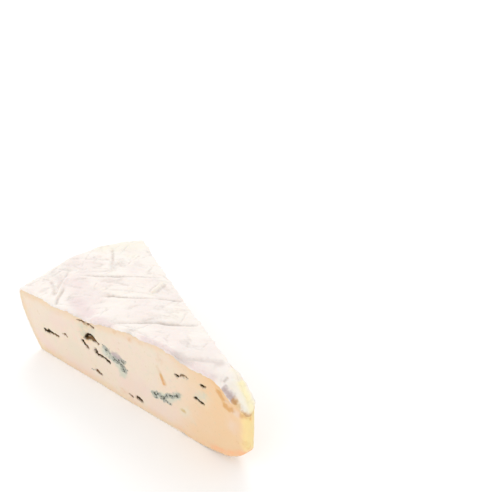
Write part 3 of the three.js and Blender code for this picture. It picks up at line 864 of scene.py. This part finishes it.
class CHEESE_OT_paste(bpy.types.Operator):
    """Make the paste, with the mould's splits and stains in both cuts"""

    bl_idname = "cheese.paste"
    bl_label = "Paste"

    def execute(self, context):
        settings, rind_settings = context.scene.cheese_paste, context.scene.cheese_rind
        paste = merged_copy("paste")
        close_up(paste, settings.voxel)

        skin = make_skin("skin")
        points = points_of(paste)
        distance, facing = nearest_on(skin, points)
        bpy.data.objects.remove(skin)
        give = rind_thickness(points, rind_settings) - settings.inset
        give *= 1 - np.clip(distance / GIVE_WAY, 0, 1)
        moved = points - facing * give[:, None]

        kinds = {name: np.zeros(len(points)) for name in PASTE_KINDS}
        kinds["black"] += NO_SPLIT
        kinds["brown"] += NO_SPLIT
        marked = np.zeros(len(points), bool)
        swell = waves(points, CUT_LUMPS)
        for side, splits, stains in CUTS:
            depth = depth_in(points, side)
            here = (depth < CUT_DEPTH) & (depth < depth_in(points, -side))
            p = points[here]
            places = on_cut(p, side)
            wander = stray(p, MARK_STRAY)
            pit, lined = split_fields(places + wander, waves(p, SPLIT_LUMPS), splits)
            stained = stain_fields(places + STAIN_STRAY * wander, stains)
            for kind, values in {**stained, **lined}.items():
                kinds[kind][here] = values
            level = settings.bulge * smooth(np.minimum(distance[here], p[:, 2]) / BULGE_EDGE)
            start, end, run = BULGE_ENDS
            level *= smooth((places[:, 0] - start) / run) * smooth((end - places[:, 0]) / run)
            filled = np.maximum(level + depth[here], 0) * (level > LEAST_BULGE)
            out = filled + (swell[here] - pit) * smooth(1 - depth[here] / CUT_DEPTH) * MM
            moved[here] += np.outer(out, cut_axes(side)[1])
            mottled = np.maximum(kinds["grain"][here], kinds["mauve"][here])
            marked[here] |= (pit > LEAST_PIT) | (mottled > LEAST_STAIN)
        set_points(paste, moved)

        kinds["below"] = distance / MM
        kinds["ripe"] = smooth((RIPE_FROM - from_tip(points)) / RIPE_RUN)
        kinds["mould"] = np.clip(np.maximum.reduce([
            1 + kinds["black"] / MOULD_FADE, 1 + kinds["brown"] / MOULD_FADE, kinds["grain"],
            HAZE_DULLNESS * kinds["haze"]]), 0, 1)
        for kind, values in kinds.items():
            write_field(paste, kind, values)

        thin_out(paste, ~marked, PASTE_KEPT)
        paste.data.materials.append(soft_paste(settings))
        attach(paste, "root")
        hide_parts(NODE)
        return {"FINISHED"}


# ---- Materials -----------------------------------------------------------------------------------


def linear(colour):
    """A #rrggbb sRGB colour as linear red, green, blue and alpha."""
    channels = [int(colour[i:i + 2], 16) / 255 for i in (1, 3, 5)]
    return (*(c / 12.92 if c <= 0.04045 else ((c + 0.055) / 1.055) ** 2.4 for c in channels), 1.0)


def add_node(tree, kind, inputs, **settings):
    """Adds a node, sets its settings, and sets or links its inputs."""
    node = tree.nodes.new(kind)
    for name, value in settings.items():
        setattr(node, name, value)
    for name, value in inputs.items():
        if isinstance(value, bpy.types.NodeSocket):
            tree.links.new(value, node.inputs[name])
        else:
            node.inputs[name].default_value = value
    return node


def new_material(name):
    """A material with an empty node tree, and its object coordinates."""
    material = bpy.data.materials.new(name)
    material.use_nodes = True
    material.node_tree.nodes.clear()
    place = add_node(material.node_tree, "ShaderNodeTexCoord", {}).outputs["Object"]
    return material, material.node_tree, place


def grown_colour(tree, place, settings, base, layers):
    """The base colour with the layers grown over it in turn.

    Each layer has a tint, the field that says where it grows (or None), the size in mm of the grain that
    breaks it up, how much it is broken up, the levels of the field at which it starts and is full, and its
    strength.
    """
    colour = linear(getattr(settings, base))
    for tint, field, size, roughness, low, high, strength in layers:
        grain = add_node(tree, "ShaderNodeTexNoise", {
            "Vector": place, "Scale": 1 / (size * MM), "Detail": 3.0})
        level = grain.outputs["Fac"]
        if field:
            where = add_node(tree, "ShaderNodeAttribute", {}, attribute_name=field).outputs["Fac"]
            level = add_node(
                tree, "ShaderNodeMath", {0: grain.outputs["Fac"], 1: roughness, 2: where},
                operation="MULTIPLY_ADD").outputs[0]
        shift = roughness / 2 if field else 0
        share = add_node(
            tree, "ShaderNodeMapRange",
            {"Value": level, "From Min": low + shift, "From Max": high + shift, "To Max": strength},
            interpolation_type="SMOOTHSTEP").outputs["Result"]
        colour = add_node(
            tree, "ShaderNodeMix", {0: share, 6: colour, 7: linear(getattr(settings, tint))},
            data_type="RGBA").outputs[2]
    return colour


PASTE_KINDS = (
    "black", "brown", "grain", "haze", "mauve", "amber", "ochre", "pink", "cream", "sole", "tip_glow")

# tint, field, grain size, roughness, low, high, strength
PASTE_LAYERS = [
    ("cream", None, 9, 0.0, 0.5, 0.75, 0.5),
    ("pink", None, 7, 0.0, 0.52, 0.75, 0.5),
    ("cream", None, 3.4, 0.0, 0.52, 0.7, 0.5),
    ("pink", None, 2.7, 0.0, 0.53, 0.7, 0.6),
    ("ripe", "ripe", 12, 0.5, 0.0, 1.0, 0.82),
    ("haze", None, 1.7, 0.0, 0.6, 0.75, 0.22),
    ("ochre", None, 1.2, 0.0, 0.62, 0.76, 0.35),
    ("cream", "cream", 3, 0.4, 0.1, 0.9, 0.8),
    ("pink", "pink", 3, 0.4, 0.1, 0.9, 0.9),
    ("ripe", "below", 2, 3.0, 5.5, 0.5, 0.45),
    ("sole", "sole", 3, 0.4, 0.1, 0.9, 0.9),
    # painted glow at the tip
    ("tip_glow", "tip_glow", 3, 0.3, 0.1, 1.0, 1.0),
    ("amber", "amber", 1.5, 0.5, 0.1, 0.9, 0.9),
    ("ochre", "ochre", 1.2, 0.5, 0.2, 0.9, 0.9),
    ("haze", "haze", 1.8, 0.9, 0.2, 0.9, 0.85),
    ("mauve", "mauve", 1.4, 0.6, 0.2, 0.9, 0.9),
    ("slate", "grain", 1.5, 1.6, 0.35, 0.9, 0.75),
    ("grain", "grain", 1.0, 3.2, 0.8, 1.25, 0.85),
    ("brown", "brown", 1.0, 1.2, -0.6, 0.1, 0.45),
    ("brown", "brown", 0.9, 1.3, -0.25, 0.1, 0.9),
    ("brown", "black", 1.1, 1.2, -0.7, 0.1, 0.55),
    ("black", "black", 0.9, 1.4, -0.3, 0.05, 0.97),
]

RIND_LAYERS = [
    ("blush", None, 16, 0.0, 0.42, 0.7, 0.8),
    ("blush", "blush", 4, 0.5, 0.1, 0.9, 0.9),
    ("cream", "cream", 4, 0.6, 0.1, 0.9, 0.9),
    # pinkish tone, and painted shade along the lip
    ("lilac", "lilac", 5, 0.5, 0.05, 1.0, 0.9),
    # painted shade
    ("shade", "shade", 3, 0.4, 0.1, 1.0, 0.9),
    ("shade", "streak", 1.6, 0.8, 0.6, 1.1, 0.35),
    # painted glow at the tip
    ("tip_glow", "tip_glow", 3, 0.5, 0.0, 1.0, 0.9),
    # painted shade in the creases
    ("crease", "crease", 1.2, 0.7, 0.05, 1.0, 0.95),
    # painted shade under the lip near the tip
    ("mauve", "mauve", 1.4, 0.8, 0.1, 0.9, 0.9),
    ("amber", "amber", 1.0, 0.7, 0.1, 0.8, 0.85),
    # brown rind and painted shade under the lip at the tip
    ("tan", "tan", 0.9, 0.7, 0.1, 0.8, 0.9),
    ("edge", "edge", 2, 0.4, 0.1, 0.7, 1.0),
    ("sole", "sole", 2, 0.4, 0.1, 0.9, 1.0),
]


def soft_paste(settings):
    """Soft-ripened paste: cream curd that scatters light, moist where cut, with blue mould grown in it and
    a painted glow at the thin tip.
    """
    material, tree, place = new_material("soft_paste")
    colour = grown_colour(tree, place, settings, "young", PASTE_LAYERS)
    curd = add_node(tree, "ShaderNodeTexNoise", {"Vector": place, "Scale": 1 / (0.9 * MM), "Detail": 4.0})
    bump = add_node(tree, "ShaderNodeBump", {
        "Strength": 0.5, "Distance": 0.12 * MM, "Height": curd.outputs["Fac"]})
    moist = add_node(tree, "ShaderNodeMapRange", {
        "Value": curd.outputs["Fac"], "From Min": 0.3, "From Max": 0.7, "To Min": 0.40, "To Max": 0.58})
    mould = add_node(tree, "ShaderNodeAttribute", {}, attribute_name="mould")
    gloss = add_node(tree, "ShaderNodeMapRange", {
        "Value": mould.outputs["Fac"], "To Min": 0.5, "To Max": 0.05})
    shader = add_node(tree, "ShaderNodeBsdfPrincipled", {
        "Base Color": colour, "Roughness": moist.outputs["Result"], "IOR": 1.45,
        "Specular IOR Level": gloss.outputs["Result"], "Subsurface Weight": 0.3,
        "Subsurface Radius": (4.0, 2.4, 1.2), "Subsurface Scale": 0.7 * MM,
        "Normal": bump.outputs["Normal"]})
    add_node(tree, "ShaderNodeOutputMaterial", {"Surface": shader.outputs[0]})
    return material


def bloomy_rind(settings):
    """Bloomy rind: a dry felt of white mould over pinkish rind, thin in patches, with painted shade in the
    creases and under the lip and a painted glow at the tip.
    """
    material, tree, place = new_material("bloomy_rind")
    colour = grown_colour(tree, place, settings, "bloom", RIND_LAYERS)
    felt = add_node(tree, "ShaderNodeTexNoise", {"Vector": place, "Scale": 1 / (0.8 * MM), "Detail": 5.0})
    bump = add_node(tree, "ShaderNodeBump", {
        "Strength": 0.6, "Distance": 0.15 * MM, "Height": felt.outputs["Fac"]})
    shader = add_node(tree, "ShaderNodeBsdfPrincipled", {
        "Base Color": colour, "Roughness": 0.9, "IOR": 1.4, "Specular IOR Level": 0.3,
        "Subsurface Weight": 0.2, "Subsurface Radius": (2.5, 1.8, 1.4), "Subsurface Scale": 0.6 * MM,
        "Sheen Weight": 0.15, "Sheen Roughness": 0.6, "Normal": bump.outputs["Normal"]})
    add_node(tree, "ShaderNodeOutputMaterial", {"Surface": shader.outputs[0]})
    return material


def white_paper(settings):
    """White studio paper: matt and plain, so that only the wedge shows."""
    material, tree, _ = new_material("white_paper")
    shader = add_node(tree, "ShaderNodeBsdfPrincipled", {
        "Base Color": linear(settings.floor), "Roughness": 0.9})
    add_node(tree, "ShaderNodeOutputMaterial", {"Surface": shader.outputs[0]})
    return material


# ---- The stage -----------------------------------------------------------------------------------

LIGHTS = [
    # name, place, size in metres, watts
    ("key_light", (-0.62, 0.47, 0.65), 0.6, 2.6),
    ("fill_light", (0.15, -0.75, 0.5), 0.8, 1.5),
]


class CHEESE_OT_stage(bpy.types.Operator):
    """Make the pale floor, the soft studio lights and the camera"""

    bl_idname = "cheese.stage"
    bl_label = "Stage"

    def execute(self, context):
        scene = context.scene
        settings = scene.cheese_stage
        scene.view_settings.view_transform = "Standard"

        bpy.ops.mesh.primitive_plane_add(size=8.0, location=(0, 0, 0))
        floor = context.object
        floor.name = "floor"
        floor.data.materials.append(white_paper(settings))

        scene.world = bpy.data.worlds.new("studio")
        scene.world.use_nodes = True
        sky = scene.world.node_tree.nodes["Background"]
        sky.inputs["Color"].default_value = (1, 1, 1, 1)
        sky.inputs["Strength"].default_value = settings.sky

        for name, place, size, watts in LIGHTS:
            bpy.ops.object.light_add(type="AREA", location=place)
            lamp = context.object
            lamp.name = name
            lamp.data.size = size
            lamp.data.energy = watts
            lamp.rotation_euler = (-Vector(place)).to_track_quat("-Z", "Y").to_euler()

        bpy.ops.object.camera_add(location=settings.camera)
        camera = context.object
        camera.name = "camera"
        look = Vector(settings.target) - Vector(settings.camera)
        camera.rotation_euler = look.to_track_quat("-Z", "Y").to_euler()
        camera.data.lens = settings.lens
        camera.data.clip_start = 0.01
        scene.camera = camera
        return {"FINISHED"}


# ---- The sidebar ---------------------------------------------------------------------------------


class CHEESE_PT_sidebar(bpy.types.Panel):
    bl_idname = "CHEESE_PT_sidebar"
    bl_label = "Cheese Wedge"
    bl_space_type = "VIEW_3D"
    bl_region_type = "UI"
    bl_category = "Cheese"

    def draw(self, context):
        for name in ("stage", "paste", "rind"):
            box = self.layout.box()
            box.operator("cheese." + name)
            settings = getattr(context.scene, "cheese_" + name)
            for key in settings.__annotations__:
                box.prop(settings, key)


GROUPS = {"cheese_rind": CHEESE_PG_rind, "cheese_paste": CHEESE_PG_paste, "cheese_stage": CHEESE_PG_stage}
CLASSES = [*GROUPS.values(), CHEESE_OT_rind, CHEESE_OT_paste, CHEESE_OT_stage, CHEESE_PT_sidebar]


def register():
    for made in CLASSES:
        bpy.utils.register_class(made)
    for name, group in GROUPS.items():
        setattr(bpy.types.Scene, name, PointerProperty(type=group))


def unregister():
    for name in GROUPS:
        delattr(bpy.types.Scene, name)
    for made in reversed(CLASSES):
        bpy.utils.unregister_class(made)


def main():
    register()
    bpy.ops.cheese.stage()
    bpy.ops.cheese.paste()
    bpy.ops.cheese.rind()


if __name__ == "__main__":
    main()
